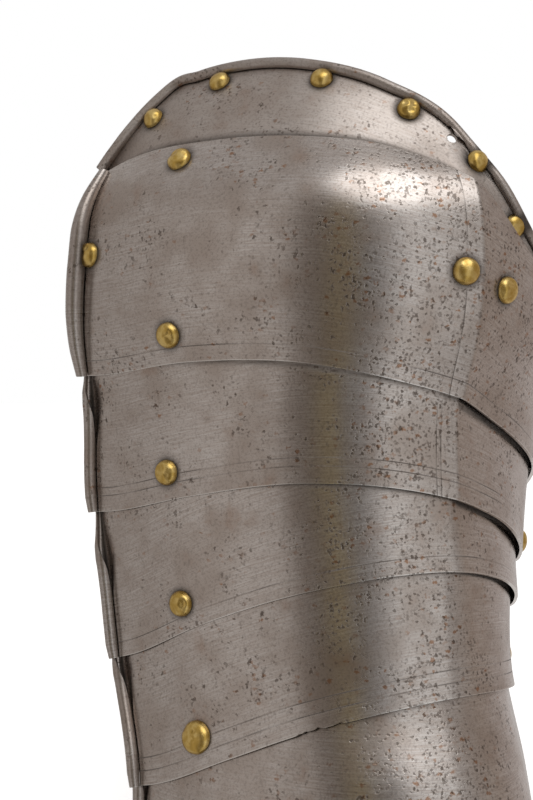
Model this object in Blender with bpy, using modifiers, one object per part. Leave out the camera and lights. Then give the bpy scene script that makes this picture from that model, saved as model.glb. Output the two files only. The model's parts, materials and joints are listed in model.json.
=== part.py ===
"""A steel spaulder: a top lame, a shoulder plate and four arm lames on brass rivets.

Metres, +Z up. The spaulder stands on the flat lower edge of its last lame, and the origin is in the
middle of that edge's wall, at the foot of the crest. +X is the way that the crest faces, and Y runs
from the near side, at -Y, to the far side, at +Y.
"""
import math

import bmesh
import bpy
import numpy as np
from mathutils import Matrix, Vector

MM = 0.001

# Steel and fits
STEEL = 1.1 * MM
FLANK_GAP = 0.55 * MM
CREST_GAP = 2.0 * MM
END_GAP = 1.5 * MM
HIDDEN_GAP_SHARE = 2.0
TOP_LEAN = 1.4
HEAD_CLEARANCE = 0.3 * MM
PEEN_CLEARANCE = 0.8 * MM

# Height of each plate that shows along the crest
TOP_LAME_HEIGHT = 23.6 * MM
SHOULDER_HEIGHT = 69.5 * MM
LAME_1_HEIGHT = 32.5 * MM
LAME_2_HEIGHT = 22.8 * MM
LAME_3_HEIGHT = 39.2 * MM
LAME_4_HEIGHT = 62.3 * MM

# How far a plate runs on, unseen, under the one that covers it
LAME_OVERLAP = 17.0 * MM
TOP_OVERLAP = 13.0 * MM

# The bow of the plates, seen from above
HALF_ARC = 155.0 * MM
CREST_REACH = 10.0 * MM

# What the last lame is made too long by, and then trimmed level, and how far its crest leans out there
FOOT_TRIM = 1.5 * MM
FOOT_LEAN = 0.2

# Turned edges
LAME_ROLL_RADIUS = 1.5 * MM
SHOULDER_ROLL_RADIUS = 2.2 * MM
RIM_ROLL_RADIUS = 0.9 * MM

# Rivets
HEAD_RADIUS = 4.4 * MM
HEAD_HEIGHT = 2.9 * MM
BIG_HEAD_RADIUS = 5.5 * MM
SHANK_RADIUS = 1.6 * MM
PEEN_RADIUS = 2.7 * MM
PEEN_HEIGHT = 0.9 * MM
HOLE_CLEARANCE = 0.6 * MM
PIVOT_RISES = (9.5 * MM, 7.5 * MM)
TOP_PIVOT_DROP = 6.2 * MM
RIM_RIVET_INSET = 5.8 * MM
RIM_HEAD_RADIUS = 3.9 * MM
CREST_RIVET_DROPS = (29.5 * MM, 34.5 * MM)
STRAP_RIVET_HEIGHT = 42.0 * MM
FAR_STRAP_RIVET_HEIGHT = 25.0 * MM
LACE_HOLE_RADIUS = 2.7 * MM
LACE_HOLE_DROP = 8.0 * MM

# Where the rivets sit along the arc, as shares of half of it
RIM_RIVETS = (-0.905, -0.66, -0.30, -0.075, 0.055, 0.15, 0.42, 0.72)
CREST_RIVETS = (-0.040, 0.072)
STRAP_RIVETS = (-0.92, 0.90)
TOP_PIVOTS = (-0.69, 0.56)
LAME_PIVOTS = ((-0.675, 0.56), (-0.695, 0.50), (-0.695, 0.58), (-0.71, 0.60))
PLATE_END = 0.95
TOP_LAME_END = 0.985

GAP_SHARES = (-1.0, -0.69, -0.25, 0.20, 0.56, 1.0)

# Stations along the arc, as shares of half of it
STATIONS = ("near_end", "near_corner", "near_flank", "near_turn", "near_nose", "crest",
            "far_nose", "far_turn", "far_flank", "far_corner", "far_end")
STATION_SHARES = (-1.0, -0.88, -0.62, -0.36, -0.14, 0.0, 0.14, 0.36, 0.62, 0.88, 1.0)

# How much higher than at the crest each edge lies at the stations, as shares of HALF_ARC
EDGE_LIFTS = {
    "rim": (-0.060, 0.105, 0.152, 0.139, 0.071, 0.0, -0.200, -0.350, -0.440, -0.520, -0.600),
    "shoulder_top": (0.063, 0.098, 0.116, 0.103, 0.065, 0.0, -0.125, -0.270, -0.380, -0.480, -0.540),
    "shoulder_foot": (0.056, 0.056, 0.081, 0.076, 0.036, 0.0, -0.057, -0.144, -0.224, -0.289, -0.315),
    "lame_1_foot": (-0.053, -0.044, 0.003, 0.036, 0.027, 0.0, -0.044, -0.144, -0.202, -0.240, -0.253),
    "lame_2_foot": (-0.243, -0.216, -0.119, -0.040, -0.003, 0.0, -0.026, -0.106, -0.164, -0.203, -0.216),
    "lame_3_foot": (-0.255, -0.228, -0.141, -0.060, -0.015, 0.0, -0.008, -0.034, -0.066, -0.086, -0.092),
    "lame_4_foot": (-FOOT_TRIM / HALF_ARC,) * 11,
}

# The bow at shares of the crest's height: how far the crest reaches, in CREST_REACH, the half arc,
# in HALF_ARC, and the share of the far half that its tight bend ends at
FORM_COLUMNS = ("height", "reach", "arc", "far_turn")
FORM = (
    (0.00, 1.90, 0.86, 0.25),
    (0.12, 1.35, 0.86, 0.25),
    (0.25, 0.20, 0.88, 0.27),
    (0.37, 0.00, 0.91, 0.32),
    (0.50, -0.25, 0.94, 0.42),
    (0.63, 0.00, 0.96, 0.49),
    (0.72, 0.80, 1.00, 0.45),
    (0.82, 1.05, 1.00, 0.43),
    (0.90, 0.66, 0.97, 0.43),
    (0.97, -0.55, 0.88, 0.43),
    (1.04, -1.70, 0.77, 0.43),
    (1.10, -3.00, 0.66, 0.43),
)

# How far the plate's face has turned from the crest's way, in degrees, at shares of the half arc
NEAR_TURN = ((0.0, 15.0), (0.12, 17.0), (0.42, 48.0), (0.72, 57.0), (1.0, 76.0))
FAR_TURN_DEGREES = (15.0, 17.0, 52.0, 62.0, 80.0)
FAR_FLANK_SHARE = 0.65
FAR_NOSE_SHARE = 0.30

ARC_STEPS = 60
COLUMN_SHARES = (1.0, 0.93, 0.86, 0.78, 0.70, 0.62, 0.54, 0.47, 0.40, 0.33, 0.27, 0.21, 0.15, 0.10, 0.05)
ROLL_STEPS = 4
ROLL_TURN = math.radians(215.0)
ROUND_SIDES = 10

STEEL_COLOUR = (0.42, 0.40, 0.38, 1.0)
BRASS_COLOUR = (0.62, 0.44, 0.13, 1.0)


def smooth(at, places, values):
    """A smooth curve through values at rising places, with Catmull-Rom slopes."""
    places = np.asarray(places, float)
    values = np.asarray(values, float)
    slopes = np.gradient(values, places)
    at = np.clip(at, places[0], places[-1])
    i = np.clip(np.searchsorted(places, at) - 1, 0, len(places) - 2)
    span = places[i + 1] - places[i]
    t = (at - places[i]) / span
    rise = (2 * t**3 - 3 * t**2 + 1) * values[i] + (3 * t**2 - 2 * t**3) * values[i + 1]
    return rise + span * ((t**3 - 2 * t**2 + t) * slopes[i] + (t**3 - t**2) * slopes[i + 1])


PLATE_HEIGHTS = (LAME_4_HEIGHT, LAME_3_HEIGHT, LAME_2_HEIGHT, LAME_1_HEIGHT, SHOULDER_HEIGHT, TOP_LAME_HEIGHT)
CREST_HEIGHTS = dict(zip(reversed(EDGE_LIFTS), np.concatenate(([0.0], np.cumsum(PLATE_HEIGHTS)))))
RIM_HEIGHT = CREST_HEIGHTS["rim"]


def edge_height(edge, share):
    """Height of a plate's edge at a share of the half arc."""
    return CREST_HEIGHTS[edge] + HALF_ARC * smooth(share, STATION_SHARES, EDGE_LIFTS[edge])


def turn_table(side, far_turn):
    """Shares of the half arc and the turn of the plate's face there, in radians."""
    if side < 0:
        shares, degrees = zip(*NEAR_TURN)
    else:
        shares = (0.0, FAR_NOSE_SHARE * far_turn, far_turn, FAR_FLANK_SHARE, 1.0)
        degrees = FAR_TURN_DEGREES
    return shares, np.radians(degrees)


def bow_point(share, height, inset):
    """A point of the bow, and the outward way there, that lies inset inside its outer face."""
    side = -1 if share < 0 else 1
    level = height / RIM_HEIGHT
    heights, reaches, arcs, far_turns = zip(*FORM)
    arc = HALF_ARC * smooth(level, heights, arcs)
    shares, turns = turn_table(side, smooth(level, heights, far_turns))
    walk = np.linspace(0.0, abs(share), ARC_STEPS)
    turn = np.interp(walk, shares, turns)
    step = arc * abs(share) / (ARC_STEPS - 1)
    back = step * (np.sin(turn[1:]) + np.sin(turn[:-1])).sum() / 2
    across = step * (np.cos(turn[1:]) + np.cos(turn[:-1])).sum() / 2
    reach = CREST_REACH * (smooth(level, heights, reaches) - reaches[0]) + STEEL / 2 + FOOT_LEAN * FOOT_TRIM
    outward = Vector((math.cos(turn[-1]), side * math.sin(turn[-1]), 0.0))
    if share == 0:
        outward = Vector((1.0, 0.0, 0.0))
        inset = inset / math.cos(turn[0])
    return Vector((reach - back, side * across, height)) - inset * outward, outward


def gap(share):
    """Room under a covering plate: narrow at the pivots, wide at the crest, where the lames swing most."""
    gaps = (END_GAP, FLANK_GAP, CREST_GAP, CREST_GAP, FLANK_GAP, END_GAP)
    return float(np.interp(share, GAP_SHARES, gaps))


class Plate:
    """One plate of the bow, as rows of points from its upper to its lower edge."""

    def __init__(self, name, rows, roll_radius):
        self.name = name
        self.rows = rows
        self.roll_radius = roll_radius

    def row(self, index, share):
        """Height, inset, and how closed and large the end's roll is, for a row at a share of the half arc."""
        return self.rows[index](share)

    def inset_at(self, share, height):
        found = sorted(row(share)[:2] for row in self.rows)
        return float(np.interp(height, [h for h, _ in found], [i for _, i in found]))

    def point(self, share, height):
        return bow_point(share, height, self.inset_at(share, height))[0]

    def slopes(self, share, height):
        """How the outer face's point moves for each share of the half arc, and for each metre of height."""
        nudge = 0.01
        along = self.point(share + nudge, height) - self.point(share - nudge, height)
        up = self.point(share, height + MM) - self.point(share, height - MM)
        return along / (2 * nudge), up / (2 * MM)

    def place(self, share, height):
        """A point of the outer face and the outward normal there."""
        along, up = self.slopes(share, height)
        return self.point(share, height), along.cross(up).normalized()

    def walk(self, share, height, way):
        """The share and height that lie a small way along the face from a point of it."""
        along, up = self.slopes(share, height)
        square = Matrix(((along.dot(along), along.dot(up)), (along.dot(up), up.dot(up))))
        step = square.inverted() @ Vector((along.dot(way), up.dot(way)))
        return share + step[0], height + step[1]


def between(upper, lower, share_down, inset_top, inset_foot, closed=0.0, size=1.0):
    """A row that lies a share of the way down from one edge to another."""
    def row(share):
        top, foot = upper(share), lower(share)
        inset = inset_top(share) + (inset_foot(share) - inset_top(share)) * share_down
        return top + (foot - top) * share_down, inset, closed, size
    return row


def covered(share):
    return STEEL + gap(share)


def covered_deep(share):
    """As covered, for a lame's hidden upper edge, which swings the furthest under the plate above it."""
    return STEEL + HIDDEN_GAP_SHARE * gap(share)


def covered_leaning(share):
    """As covered, for the top lame, where the plates lean in and lie closer together than level ones."""
    return TOP_LEAN * covered(share)


def bare(share):
    return 0.0


def edge(name):
    return lambda share: edge_height(name, share)


def hidden_edge(plate, name, above, inset):
    """The row of an edge that lies unseen inside plate, above or below the named edge of it."""
    def row(share):
        height = edge_height(name, share) + above
        return height, plate.inset_at(share, height) + inset(share), 0.0, 1.0
    return row


def lame_rows(plate, cover, foot):
    """A lame's rows: its hidden upper edge inside plate, the cover's foot, and down to its own foot."""
    hidden = hidden_edge(plate, cover, LAME_OVERLAP, covered_deep)
    top, low = edge(cover), edge(foot)
    rolls = ((0.0, 0.15), (0.2, 0.8), (0.45, 1.0), (0.75, 1.0), (1.0, 0.9))
    return [hidden] + [between(top, low, down, covered, bare, closed) for down, closed in rolls]


def shoulder_rows():
    top, low = edge("shoulder_top"), edge("shoulder_foot")
    sizes = ((0.0, 0.4), (0.12, 0.7), (0.3, 0.95), (0.5, 1.0), (0.7, 0.95), (0.88, 0.75), (1.0, 0.5))
    return [between(top, low, down, bare, bare, 1.0, size) for down, size in sizes]


def top_lame_rows(plate):
    """The top lame's rows, from its rim down to its hidden lower edge inside plate."""
    hidden = hidden_edge(plate, "shoulder_top", -TOP_OVERLAP, covered_leaning)
    rim, cover = edge("rim"), edge("shoulder_top")
    shown = [between(rim, cover, down, bare, covered_leaning) for down in (0.0, 0.25, 0.5, 0.75, 1.0)]
    return shown + [hidden]


def rolled(start, ahead, outward, radius, closed):
    """Points of a strip that leaves start along ahead and curls up towards outward, flat where closed is 0."""
    length = radius * ROLL_TURN
    points = []
    for i in range(1, ROLL_STEPS + 1):
        way = length * i / ROLL_STEPS
        if closed == 0:
            points.append(start + way * ahead)
            continue
        bend = radius / closed
        turn = way / bend
        points.append(start + bend * (math.sin(turn) * ahead + (1 - math.cos(turn)) * outward))
    return points


def grid_object(name, rows, material, collection):
    """A wall of the steel's thickness behind a grid of points."""
    shell = bmesh.new()
    grid = [[shell.verts.new(point) for point in row] for row in rows]
    for upper, lower in zip(grid, grid[1:]):
        for a, b, c, d in zip(upper, upper[1:], lower[1:], lower):
            shell.faces.new((a, d, c, b))
    mesh = bpy.data.meshes.new(name)
    shell.to_mesh(mesh)
    shell.free()
    mesh.materials.append(material)
    plate = bpy.data.objects.new(name, mesh)
    collection.objects.link(plate)
    wall = plate.modifiers.new("Wall", "SOLIDIFY")
    wall.thickness = STEEL
    wall.offset = -1.0
    wall.use_even_offset = True
    mesh.shade_smooth()
    mesh.set_sharp_from_angle(angle=math.radians(25.0))
    return plate


def arc_columns(end):
    """The shares of the half arc at which a plate has a column of points, from its near to its far end."""
    half = [end * share for share in COLUMN_SHARES]
    return [-share for share in half] + [0.0] + list(reversed(half))


def build_plate(plate, material, collection):
    """The plate's object. Its ends are turned outwards, into a roll that opens where a plate covers it."""
    rows = []
    for index in range(len(plate.rows)):
        points = []
        for share in arc_columns(PLATE_END):
            points.append(bow_point(share, *plate.row(index, share)[:2])[0])
        ends = []
        for side, end, inner in ((-1, points[0], points[1]), (1, points[-1], points[-2])):
            height, inset, closed, size = plate.row(index, side * PLATE_END)
            outward = bow_point(side * PLATE_END, height, inset)[1]
            ahead = (end - inner).normalized()
            outward = (outward - outward.dot(ahead) * ahead).normalized()
            ends.append(rolled(end, ahead, outward, size * plate.roll_radius, closed))
        rows.append(list(reversed(ends[0])) + points + ends[1])
    return grid_object(plate.name, rows, material, collection)


def rim_frame(plate, share):
    """The way out of the plate at its rim, square to the rim, and the outward normal there."""
    nudge = 0.02
    height = edge_height("rim", share)
    before, after = max(share - nudge, -1.0), min(share + nudge, 1.0)
    along = plate.point(after, edge_height("rim", after)) - plate.point(before, edge_height("rim", before))
    outward = plate.place(share, height - MM)[1]
    return outward.cross(along).normalized(), outward


def build_top_lame(plate, material, collection):
    """The top lame's object. Its rim is turned outwards along the whole neck edge."""
    columns = arc_columns(TOP_LAME_END)
    rows = []
    for index in range(len(plate.rows)):
        rows.append([bow_point(share, *plate.row(index, share)[:2])[0] for share in columns])
    lip = []
    for share, end in zip(columns, rows[0]):
        ahead, outward = rim_frame(plate, share)
        lip.append(rolled(end, ahead, outward, plate.roll_radius, 1.0))
    rolls = [[column[step] for column in lip] for step in range(ROLL_STEPS)]
    return grid_object(plate.name, list(reversed(rolls)) + rows, material, collection)


def steel(name):
    return finish(name, STEEL_COLOUR, 0.42)


def brass(name):
    return finish(name, BRASS_COLOUR, 0.3)


def finish(name, colour, roughness):
    material = bpy.data.materials.new(name)
    material.use_nodes = True
    shader = material.node_tree.nodes["Principled BSDF"]
    shader.inputs["Base Color"].default_value = colour
    shader.inputs["Metallic"].default_value = 1.0
    shader.inputs["Roughness"].default_value = roughness
    return material


def outward_frame(point, normal):
    """A frame at point whose Z axis is the outward normal."""
    return Matrix.Translation(point) @ normal.to_track_quat("Z", "Y").to_matrix().to_4x4()


def turned_mesh(name, profile):
    """An open profile in the XZ plane, for a Screw about Z."""
    mesh = bpy.data.meshes.new(name)
    mesh.from_pydata([(r, 0.0, z) for r, z in profile], [(i, i + 1) for i in range(len(profile) - 1)], [])
    return mesh


def rivet_profile(head_radius, grip):
    """From the crown of the domed head down the shank to the peened end under the plates."""
    dome = [(head_radius * math.sin(turn), HEAD_HEIGHT * math.cos(turn))
            for turn in np.radians((0.0, 32.0, 62.0, 90.0))]
    dome[0] = (0.0, HEAD_HEIGHT)
    foot = -HEAD_CLEARANCE - grip - PEEN_CLEARANCE
    below = [(SHANK_RADIUS, 0.0), (SHANK_RADIUS, foot), (PEEN_RADIUS, foot),
             (0.7 * PEEN_RADIUS, foot - PEEN_HEIGHT), (0.0, foot - PEEN_HEIGHT)]
    return [(r, z + HEAD_CLEARANCE) for r, z in dome + below]


def build_rivet(name, point, normal, head_radius, grip, material, collection):
    """A domed rivet through grip's thickness of plates, with a small gap under its head."""
    mesh = turned_mesh(name, rivet_profile(head_radius, grip))
    mesh.materials.append(material)
    rivet = bpy.data.objects.new(name, mesh)
    collection.objects.link(rivet)
    rivet.matrix_world = outward_frame(point, normal)
    turned = rivet.modifiers.new("Turned", "SCREW")
    turned.axis = "Z"
    turned.steps = turned.render_steps = ROUND_SIDES
    turned.use_merge_vertices = True
    turned.merge_threshold = 1e-6
    turned.use_smooth_shade = True
    return rivet


def build_drill(name, point, normal, radius, collection):
    """A cutter through the walls at point, long enough for two plates."""
    shape = bmesh.new()
    bmesh.ops.create_cone(shape, cap_ends=True, segments=ROUND_SIDES, radius1=radius, radius2=radius,
                          depth=8 * (STEEL + CREST_GAP))
    mesh = bpy.data.meshes.new(name)
    shape.to_mesh(mesh)
    shape.free()
    drill = hidden_cutter(name, mesh, collection)
    drill.matrix_world = outward_frame(point, normal)
    return drill


def build_foot_saw(collection):
    """A cutter that trims the last lame level, at Z = 0."""
    shape = bmesh.new()
    bmesh.ops.create_cube(shape, size=4 * HALF_ARC, matrix=Matrix.Translation((0.0, 0.0, -2 * HALF_ARC)))
    mesh = bpy.data.meshes.new("foot_saw")
    shape.to_mesh(mesh)
    shape.free()
    return hidden_cutter("foot_saw", mesh, collection)


def hidden_cutter(name, mesh, collection):
    cutter = bpy.data.objects.new(name, mesh)
    collection.objects.link(cutter)
    cutter.hide_render = True
    cutter.display_type = "WIRE"
    return cutter


def cut(plate, cutter):
    hole = plate.modifiers.new(cutter.name, "BOOLEAN")
    hole.operation = "DIFFERENCE"
    hole.object = cutter
    hole.solver = "EXACT"


def main():
    for old in list(bpy.data.objects):
        bpy.data.objects.remove(old)
    spaulder = bpy.data.collections.new("spaulder")
    cutters = bpy.data.collections.new("cutters")
    bpy.context.scene.collection.children.link(spaulder)
    bpy.context.scene.collection.children.link(cutters)

    shoulder = Plate("shoulder_plate", shoulder_rows(), SHOULDER_ROLL_RADIUS)
    top_lame = Plate("top_lame", top_lame_rows(shoulder), RIM_ROLL_RADIUS)
    covers = ("shoulder_foot", "lame_1_foot", "lame_2_foot", "lame_3_foot")
    feet = ("lame_1_foot", "lame_2_foot", "lame_3_foot", "lame_4_foot")
    stack = [shoulder]
    for i, (cover, foot) in enumerate(zip(covers, feet)):
        stack.append(Plate(f"lame_{i + 1}", lame_rows(stack[-1], cover, foot), LAME_ROLL_RADIUS))

    objects = {"top_lame": build_top_lame(top_lame, steel("top_lame_steel"), spaulder)}
    for plate in stack:
        objects[plate.name] = build_plate(plate, steel(plate.name + "_steel"), spaulder)

    def fasten(name, plate, share, height, under=None, head_radius=HEAD_RADIUS):
        """A rivet on plate, also through the plate under it, with a drilled hole in each."""
        point, normal = plate.place(share, height)
        grip = STEEL
        if under is not None:
            grip += under.inset_at(share, height) - plate.inset_at(share, height)
        build_rivet(name, point, normal, head_radius, grip, brass(name + "_brass"), spaulder)
        drill = build_drill(name + "_drill", point, normal, SHANK_RADIUS + HOLE_CLEARANCE, cutters)
        cut(objects[plate.name], drill)
        if under is not None:
            cut(objects[under.name], drill)

    for i, share in enumerate(RIM_RIVETS):
        way = -RIM_RIVET_INSET * rim_frame(top_lame, share)[0]
        place = top_lame.walk(share, edge_height("rim", share) - 2 * MM, way * (1 - 2 * MM / RIM_RIVET_INSET))
        fasten(f"rim_rivet_{i + 1}", top_lame, *place, head_radius=RIM_HEAD_RADIUS)
    for side, share in zip(("near", "far"), TOP_PIVOTS):
        fasten("top_pivot_" + side, shoulder, share, edge_height("shoulder_top", share) - TOP_PIVOT_DROP, top_lame)
    for side, share, drop in zip(("near", "far"), CREST_RIVETS, CREST_RIVET_DROPS):
        fasten("crest_rivet_" + side, shoulder, share, CREST_HEIGHTS["shoulder_top"] - drop)
    strap_heights = (STRAP_RIVET_HEIGHT, FAR_STRAP_RIVET_HEIGHT)
    for side, share, height in zip(("near", "far"), STRAP_RIVETS, strap_heights):
        fasten("strap_rivet_" + side, shoulder, share, edge_height("shoulder_foot", share) + height)
    for i, (upper, under, shares) in enumerate(zip(stack, stack[1:], LAME_PIVOTS)):
        for side, share, rise in zip(("near", "far"), shares, PIVOT_RISES):
            big = BIG_HEAD_RADIUS if i == 3 and side == "near" else HEAD_RADIUS
            fasten(f"pivot_{i + 1}_{side}", upper, share, edge_height(covers[i], share) + rise, under, big)
    cut(objects["lame_4"], build_foot_saw(cutters))
    lace_point, lace_normal = top_lame.place(0.0, RIM_HEIGHT - LACE_HOLE_DROP)
    cut(objects["top_lame"], build_drill("lace_drill", lace_point, lace_normal, LACE_HOLE_RADIUS, cutters))


main()
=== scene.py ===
import json
import math

import bmesh
import bpy
import numpy as np
from mathutils import Matrix, Vector, noise

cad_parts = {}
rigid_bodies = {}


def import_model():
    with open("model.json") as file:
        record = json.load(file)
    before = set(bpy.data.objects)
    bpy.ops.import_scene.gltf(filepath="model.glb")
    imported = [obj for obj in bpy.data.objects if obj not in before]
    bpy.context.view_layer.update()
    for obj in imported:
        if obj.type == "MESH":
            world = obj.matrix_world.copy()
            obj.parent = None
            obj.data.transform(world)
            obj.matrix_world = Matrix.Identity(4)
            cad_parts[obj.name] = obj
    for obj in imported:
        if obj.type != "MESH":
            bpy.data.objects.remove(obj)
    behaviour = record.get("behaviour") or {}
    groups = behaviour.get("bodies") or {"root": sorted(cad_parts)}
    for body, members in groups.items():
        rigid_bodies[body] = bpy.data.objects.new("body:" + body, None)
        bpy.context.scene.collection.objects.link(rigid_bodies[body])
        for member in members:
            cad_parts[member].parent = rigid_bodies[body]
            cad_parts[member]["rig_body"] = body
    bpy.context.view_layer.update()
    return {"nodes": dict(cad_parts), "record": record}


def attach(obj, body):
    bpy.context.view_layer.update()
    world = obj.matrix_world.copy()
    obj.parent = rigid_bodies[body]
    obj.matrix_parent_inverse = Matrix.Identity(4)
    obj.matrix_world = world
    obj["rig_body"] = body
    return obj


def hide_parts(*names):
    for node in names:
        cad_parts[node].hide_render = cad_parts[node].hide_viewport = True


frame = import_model()


# The camera looks level at the near side of the crest, from a third of a metre off, with a 50 mm lens.
# The picture's foot cuts the last lame off above the floor.
MM = 0.001
CAMERA_AZIMUTH = math.radians(-25.8)
CAMERA_DISTANCE = 355.5 * MM
CAMERA_HEIGHT = 156.8 * MM
CAMERA_SIDE = -63.5 * MM
CREST_BEHIND_ORIGIN = 18.15 * MM
LENS_SHARE = 1.389
SENSOR_HEIGHT = 36.0

towards_camera = Vector((math.cos(CAMERA_AZIMUTH), math.sin(CAMERA_AZIMUTH), 0.0))
camera_right = Vector((-math.sin(CAMERA_AZIMUTH), math.cos(CAMERA_AZIMUTH), 0.0))
lens = bpy.data.cameras.new("camera")
lens.sensor_fit = "VERTICAL"
lens.sensor_height = SENSOR_HEIGHT
lens.lens = LENS_SHARE * SENSOR_HEIGHT
camera = bpy.data.objects.new("camera", lens)
camera.location = CAMERA_DISTANCE * towards_camera + CAMERA_SIDE * camera_right
camera.location += Vector((-CREST_BEHIND_ORIGIN, 0.0, CAMERA_HEIGHT))
camera.rotation_euler = (-towards_camera).to_track_quat("-Z", "Y").to_euler()
bpy.context.scene.collection.objects.link(camera)
bpy.context.scene.camera = camera
bpy.context.scene.view_settings.view_transform = "Standard"


# The studio is a plain pale floor under a soft light that comes from all round. A broad lamp stands
# above the crest, and a dim stretch of the room, behind the camera, shows as a dark band in the steel.
# The room's colours stand at their azimuths, in degrees.
BACKDROP = (1.0, 1.0, 1.0, 1.0)
ROOM = (
    (-180, (0.60, 0.58, 0.56)),
    (-125, (0.44, 0.41, 0.39)),
    (-95, (0.48, 0.45, 0.43)),
    (-76, (0.62, 0.59, 0.57)),
    (-69, (0.54, 0.51, 0.49)),
    (-61, (0.26, 0.23, 0.21)),
    (-50, (0.17, 0.15, 0.14)),
    (-42, (0.23, 0.19, 0.115)),
    (-37, (0.30, 0.245, 0.13)),
    (-32, (0.20, 0.185, 0.175)),
    (-26, (0.21, 0.21, 0.215)),
    (-18, (0.42, 0.41, 0.41)),
    (-8, (0.86, 0.86, 0.86)),
    (2, (0.86, 0.86, 0.86)),
    (10, (0.45, 0.43, 0.42)),
    (64, (0.42, 0.36, 0.32)),
    (80, (0.50, 0.45, 0.43)),
    (110, (0.66, 0.62, 0.61)),
    (180, (0.60, 0.58, 0.56)),
)
LAMP_AZIMUTH = math.radians(-10.0)
LAMP_HEIGHT = math.radians(53.0)
LAMP_INNER = math.radians(13)
LAMP_OUTER = math.radians(27)
LAMP_LIGHT = (2.5, 2.5, 2.5, 1.0)
CEILING = (0.52, 0.50, 0.49, 1.0)
CEILING_RISES = (0.45, 0.85)
FLOOR_SIZE = 40.0
FLOOR_COLOUR = (0.80, 0.80, 0.80, 1.0)
FLOOR_ROUGHNESS = 0.9
FLOOR_GLOSS = 0.1
FLOOR_GLOW = 0.62


class Tone:
    """One output in a shader tree. Python's operators on tones add Math nodes."""

    def __init__(self, tree, socket=None):
        self.tree = tree
        self.socket = socket

    def node(self, kind, settings=None, inputs=None, output=0):
        """An output of a new node, whose settings are made first and whose sockets are then set or linked."""
        made = self.tree.nodes.new(kind)
        for name, value in (settings or {}).items():
            if name == "stops":
                stops = made.color_ramp.elements
                stops.remove(stops[1])
                stops[0].position, stops[0].color = value[0]
                for place, colour in value[1:]:
                    stops.new(place).color = colour
            else:
                setattr(made, name, value)
        for name, value in (inputs or {}).items():
            if isinstance(value, Tone):
                self.tree.links.new(value.socket, made.inputs[name])
            else:
                made.inputs[name].default_value = value
        return Tone(self.tree, made.outputs[output] if made.outputs else None)

    def maths(self, operation, first, second):
        return self.node("ShaderNodeMath", {"operation": operation}, {0: first, 1: second})

    def __add__(self, other):
        return self.maths("ADD", self, other)

    __radd__ = __add__

    def __sub__(self, other):
        return self.maths("SUBTRACT", self, other)

    def __rsub__(self, other):
        return self.maths("SUBTRACT", other, self)

    def __mul__(self, other):
        return self.maths("MULTIPLY", self, other)

    __rmul__ = __mul__

    def most(self, other):
        return self.maths("MAXIMUM", self, other)

    def step(self, low, high):
        """0 below low and 1 above high, with a smooth rise between them; low may be the greater."""
        return self.node("ShaderNodeMapRange", {"interpolation_type": "SMOOTHSTEP"},
                         {"Value": self, "From Min": low, "From Max": high})

    def mixed(self, first, second):
        """The first colour where this tone is 0, and the second where it is 1."""
        return self.node("ShaderNodeMix", {"data_type": "RGBA"}, {0: self, 6: first, 7: second}, 2)


world = bpy.data.worlds.new("studio")
world.use_nodes = True
world.node_tree.nodes.clear()
air = Tone(world.node_tree)
way = air.node("ShaderNodeTexCoord", output="Generated")
parts = air.node("ShaderNodeSeparateXYZ", inputs={0: way}).socket.node
azimuth = air.maths("ARCTAN2", Tone(air.tree, parts.outputs["Y"]), Tone(air.tree, parts.outputs["X"]))
room = air.node("ShaderNodeValToRGB", {"stops": [((a + 180) / 360, (*c, 1.0)) for a, c in ROOM]},
                {0: azimuth * (0.5 / math.pi) + 0.5})
lamp_way = (
    math.cos(LAMP_HEIGHT) * math.cos(LAMP_AZIMUTH),
    math.cos(LAMP_HEIGHT) * math.sin(LAMP_AZIMUTH),
    math.sin(LAMP_HEIGHT),
)
facing_lamp = air.node("ShaderNodeVectorMath", {"operation": "DOT_PRODUCT"}, {0: way, 1: lamp_way}, "Value")
rise = Tone(air.tree, parts.outputs["Z"])
ceiling = rise.step(*CEILING_RISES).mixed(room, CEILING)
lit = facing_lamp.step(math.cos(LAMP_OUTER), math.cos(LAMP_INNER)).mixed(ceiling, LAMP_LIGHT)
seen = air.node("ShaderNodeLightPath", output="Is Camera Ray")
sky = air.node("ShaderNodeBackground", inputs={"Color": seen.mixed(lit, BACKDROP)})
air.node("ShaderNodeOutputWorld", inputs={"Surface": sky})
bpy.context.scene.world = world

floor_shape = bmesh.new()
bmesh.ops.create_grid(floor_shape, x_segments=1, y_segments=1, size=FLOOR_SIZE)
floor_mesh = bpy.data.meshes.new("floor")
floor_shape.to_mesh(floor_mesh)
floor_shape.free()
floor_paint = bpy.data.materials.new("floor_paint")
floor_paint.use_nodes = True
floor_shader = floor_paint.node_tree.nodes["Principled BSDF"]
floor_shader.inputs["Base Color"].default_value = FLOOR_COLOUR
floor_shader.inputs["Roughness"].default_value = FLOOR_ROUGHNESS
floor_shader.inputs["Specular IOR Level"].default_value = FLOOR_GLOSS
floor_shader.inputs["Emission Color"].default_value = (1.0, 1.0, 1.0, 1.0)
floor_shader.inputs["Emission Strength"].default_value = FLOOR_GLOW
floor_mesh.materials.append(floor_paint)
floor = bpy.data.objects.new("floor", floor_mesh)
floor.visible_glossy = False
bpy.context.scene.collection.objects.link(floor)


# The shoulder plate is the deepest of the plates and caps the joint of the shoulder. It is sheet steel,
# raised over a stake into a bow with a sharp crest. Its ends are rolled outwards, and lines are scribed
# above its foot and beside its crest. The lames follow the same bow, which is that of the solids.
STEEL = 1.1 * MM
FLANK_GAP = 0.55 * MM
CREST_GAP = 2.0 * MM
END_GAP = 1.5 * MM
HIDDEN_GAP_SHARE = 2.0
HALF_ARC = 155.0 * MM
CREST_REACH = 10.0 * MM
CREST_SET = 0.85 * MM
LAME_OVERLAP = 17.0 * MM
PLATE_END = 0.95
LIP_GAP = 0.15 * MM

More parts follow.
